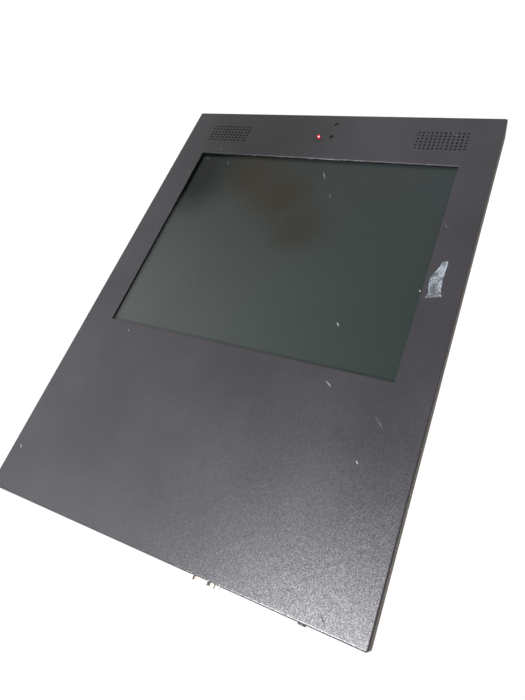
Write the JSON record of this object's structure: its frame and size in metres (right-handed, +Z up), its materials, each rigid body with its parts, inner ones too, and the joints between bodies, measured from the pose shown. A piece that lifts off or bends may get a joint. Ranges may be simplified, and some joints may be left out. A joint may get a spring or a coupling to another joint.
{
  "type": "touchscreen kiosk",
  "caption": "Flat touchscreen kiosk head in folded black sheet metal, with speaker grilles, a status light and edge ports in front, and a locking service door and screen mount behind.",
  "frame": {"origin": "centre of the square of threaded inserts, on the rear face of the mount plate", "axes": "+X to the right seen from the front, +Y backwards out of the mount, +Z up"},
  "size_m": [0.49, 0.0645, 0.6778],
  "materials": {
    "black_powder_coat": "fine textured satin",
    "zinc_steel": "zinc plated",
    "bright_steel": "turned",
    "black_screw": "black oxide",
    "black_foam": "closed cell foam",
    "screen_glass": "anti-glare",
    "dark_screen": "polariser film",
    "white_plastic": "moulded",
    "black_plastic": "moulded",
    "black_gloss": "gloss",
    "red_lens": "clear tinted",
    "circuit_board": "solder mask",
    "nickel_shell": "nickel plated",
    "brass_pin": "turned",
    "bare_aluminium": "satin",
    "supply_case": "closed case",
    "cable_sheath": "flexible sheath"
  },
  "bodies": {
    "cabinet": {"board_chips": "black_plastic", "board_connectors": "white_plastic", "board_standoffs": "brass_pin", "bracket_studs": "bright_steel", "button_bezel": "black_gloss", "button_switch": "black_plastic", "camera_lens": "black_gloss", "camera_module": "black_plastic", "cover_screws": "black_screw", "display_board": "circuit_board", "display_cable": "cable_sheath", "door_stop_frame": "zinc_steel", "fan_frame": "black_plastic", "fan_screws": "black_screw", "frame_rails": "zinc_steel", "front_panel": "black_powder_coat", "heat_sink": "bare_aluminium", "hex_nuts": "zinc_steel", "hinge_leaves_cover": "zinc_steel", "hinge_pins": "bright_steel", "inlet_body": "black_plastic", "inlet_pin": "brass_pin", "lcd_backlight": "white_plastic", "lcd_bezel": "zinc_steel", "lcd_brackets": "zinc_steel", "lcd_cell": "dark_screen", "lcd_spacer": "black_foam", "main_board": "circuit_board", "memory_module": "circuit_board", "microphone": "black_plastic", "mount_bolts": "black_screw", "mounting_plate": "zinc_steel", "plate_standoffs": "zinc_steel", "power_lead": "cable_sheath", "power_supply": "supply_case", "rear_cover": "black_powder_coat", "screen_gasket": "black_foam", "sensor_board": "circuit_board", "serial_insulator": "black_plastic", "serial_jackscrews": "nickel_shell", "serial_shell": "nickel_shell", "solid_state_drive": "bare_aluminium", "speaker_cones": "black_foam", "speaker_frames": "black_plastic", "speaker_magnets": "bright_steel", "speaker_studs": "bright_steel", "status_led": "red_lens", "thin_leads": "cable_sheath", "touch_controller": "circuit_board", "touch_glass": "screen_glass", "vesa_inserts": "bright_steel", "vesa_plate": "black_powder_coat"},
    "power_button": {"power_button": "bright_steel"},
    "fan_rotor": {"fan_rotor": "black_plastic"},
    "door": {"service_door": "black_powder_coat", "hinge_leaves_door": "zinc_steel", "lock_housing": "nickel_shell", "lock_nut": "nickel_shell"},
    "lock": {"lock_plug": "bright_steel", "lock_cam": "zinc_steel"}
  },
  "joints": [
    {"name": "button_push", "type": "slide", "parent": "cabinet", "child": "power_button", "axis": [0, 0, 1], "range_m": [0, 0.0015], "stiffness_N_per_m": 1000, "springref_m": -0.001},
    {"name": "fan_spin", "type": "hinge", "parent": "cabinet", "child": "fan_rotor", "pos_m": [0.15, -0.017, 0.215], "axis": [0, 1, 0], "continuous": true},
    {"name": "door_swing", "type": "hinge", "parent": "cabinet", "child": "door", "pos_m": [-0.1805, -0.0054, -0.205], "axis": [0, 0, 1], "range_deg": [0, 105]},
    {"name": "lock_turn", "type": "hinge", "parent": "door", "child": "lock", "pos_m": [0.158, -0.01, -0.205], "axis": [0, -1, 0], "range_deg": [0, 90]}
  ]
}
